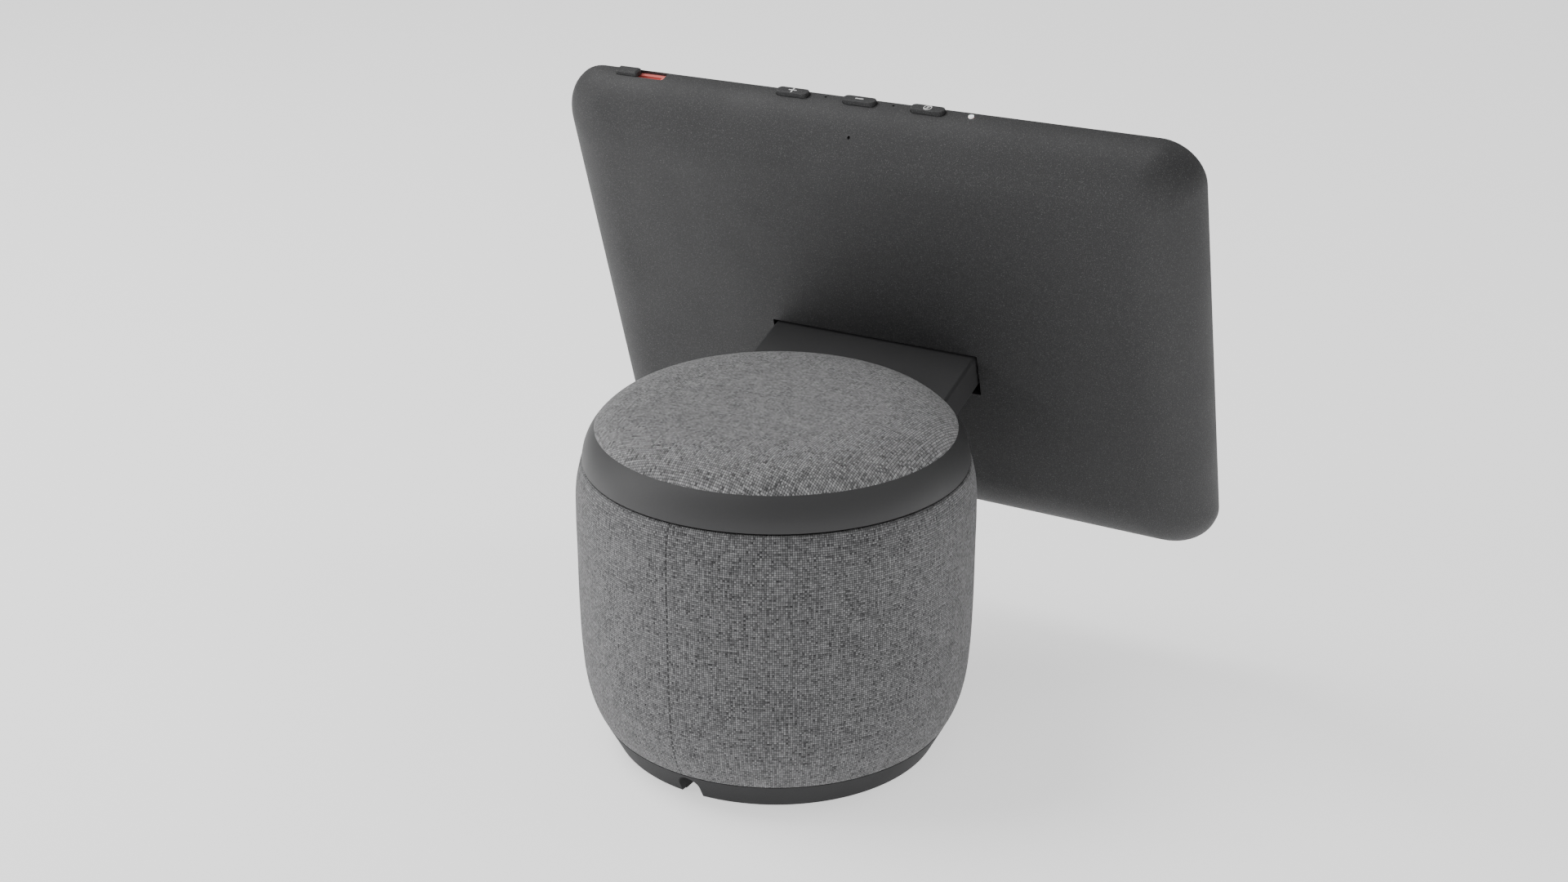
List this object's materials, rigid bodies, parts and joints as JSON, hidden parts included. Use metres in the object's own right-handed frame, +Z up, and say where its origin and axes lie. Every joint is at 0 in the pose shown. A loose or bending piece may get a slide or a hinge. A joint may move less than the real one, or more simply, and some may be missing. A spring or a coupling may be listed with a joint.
{
  "type": "smart display",
  "caption": "Tablet-style smart display that tilts on a flat arm growing out of a motorised swivelling ring, over a squat fabric-covered barrel speaker base.",
  "frame": {"origin": "on the table, at the centre of the round base (its swivel axis)", "axes": "+Z up along the swivel axis; -Y is the way the screen faces at rest; +Y is the cable notch; +X runs along the screen"},
  "size_m": [0.251, 0.1851, 0.219],
  "materials": {
    "charcoal_plastic": "fine-grained matte",
    "ring_plastic": "smooth matte",
    "foot_plastic": "smooth matte",
    "rubber": "matte",
    "grey_fabric": "plain weave, grey melange",
    "steel": "plain",
    "zinc_steel": "zinc plated",
    "aluminium": "die-cast",
    "black_plastic": "moulded",
    "white_plastic": "acetal",
    "bronze": "sintered",
    "circuit_board": "solder resist",
    "screen_glass": "polished, black border",
    "screen_panel": "polariser film",
    "red_plastic": "smooth",
    "paper_cone": "pressed fibre",
    "light_pipe": "diffusing",
    "cable_jacket": "smooth"
  },
  "bodies": {
    "base": {"rubber_foot": "rubber", "foot_shell": "foot_plastic", "foot_screws": "zinc_steel", "counterweight": "steel", "dc_jack": "black_plastic", "fabric_sleeve": "grey_fabric", "grille_cage": "black_plastic", "speaker_box": "black_plastic", "woofer_basket": "steel", "woofer_cone": "paper_cone", "woofer_magnet": "steel", "tweeters": "black_plastic", "power_board": "circuit_board", "pivot_harness": "cable_jacket", "upper_deck": "black_plastic", "deck_screws": "zinc_steel", "glide_ring": "white_plastic", "spindle_clip": "steel", "swivel_motor": "steel", "motor_screws": "zinc_steel"},
    "motor_rotor": {"motor_pinion": "white_plastic"},
    "turret": {"ring_gear": "white_plastic", "turret_plate": "black_plastic", "hub_bush": "bronze", "gear_screws": "zinc_steel", "swivel_ring": "ring_plastic", "ring_screws": "zinc_steel", "arm_lower_cover": "ring_plastic", "arm_frame": "aluminium", "arm_screws": "zinc_steel", "hinge_bushes": "bronze", "top_cap": "black_plastic", "top_fabric": "grey_fabric"},
    "display": {"rear_housing": "charcoal_plastic", "cover_glass": "screen_glass", "lcd_panel": "screen_panel", "mid_frame": "aluminium", "frame_screws": "zinc_steel", "main_board": "circuit_board", "board_shield": "steel", "board_screws": "zinc_steel", "hinge_bracket_left": "steel", "hinge_bracket_right": "steel", "bracket_screws": "zinc_steel", "hinge_shaft": "steel", "friction_washers": "steel", "button_board": "circuit_board", "status_light_guide": "light_pipe", "shutter_track": "red_plastic", "camera_module": "black_plastic"},
    "shutter": {"shutter_slider": "charcoal_plastic", "shutter_blade": "steel"},
    "volume_up": {"volume_up_button": "charcoal_plastic"},
    "volume_down": {"volume_down_button": "charcoal_plastic"},
    "mic_mute": {"mic_button": "charcoal_plastic"}
  },
  "joints": [
    {"name": "swivel", "type": "hinge", "parent": "base", "child": "turret", "pos_m": [0, 0, 0.11], "axis": [0, 0, 1], "range_deg": [-175, 175]},
    {"name": "motor_spin", "type": "hinge", "parent": "base", "child": "motor_rotor", "pos_m": [0.035, 0, 0.1], "axis": [0, 0, 1], "range_deg": [-790, 790]},
    {"name": "tilt", "type": "hinge", "parent": "turret", "child": "display", "pos_m": [0, -0.07916, 0.12095], "axis": [1, 0, 0], "range_deg": [-6, 17]},
    {"name": "shutter_slide", "type": "slide", "parent": "display", "child": "shutter", "axis": [-1, 0, 0], "range_m": [0, 0.011]},
    {"name": "volume_up_press", "type": "slide", "parent": "display", "child": "volume_up", "axis": [0, -0.2992, -0.9542], "range_m": [0, 0.0007], "stiffness_N_per_m": 1200, "springref_m": -0.0006},
    {"name": "volume_down_press", "type": "slide", "parent": "display", "child": "volume_down", "axis": [0, -0.2992, -0.9542], "range_m": [0, 0.0007], "stiffness_N_per_m": 1200, "springref_m": -0.0006},
    {"name": "mic_mute_press", "type": "slide", "parent": "display", "child": "mic_mute", "axis": [0, -0.2992, -0.9542], "range_m": [0, 0.0007], "stiffness_N_per_m": 1200, "springref_m": -0.0006}
  ],
  "couplings": [
    {"joint": "motor_spin", "follows": "swivel", "ratio": 4.5}
  ]
}
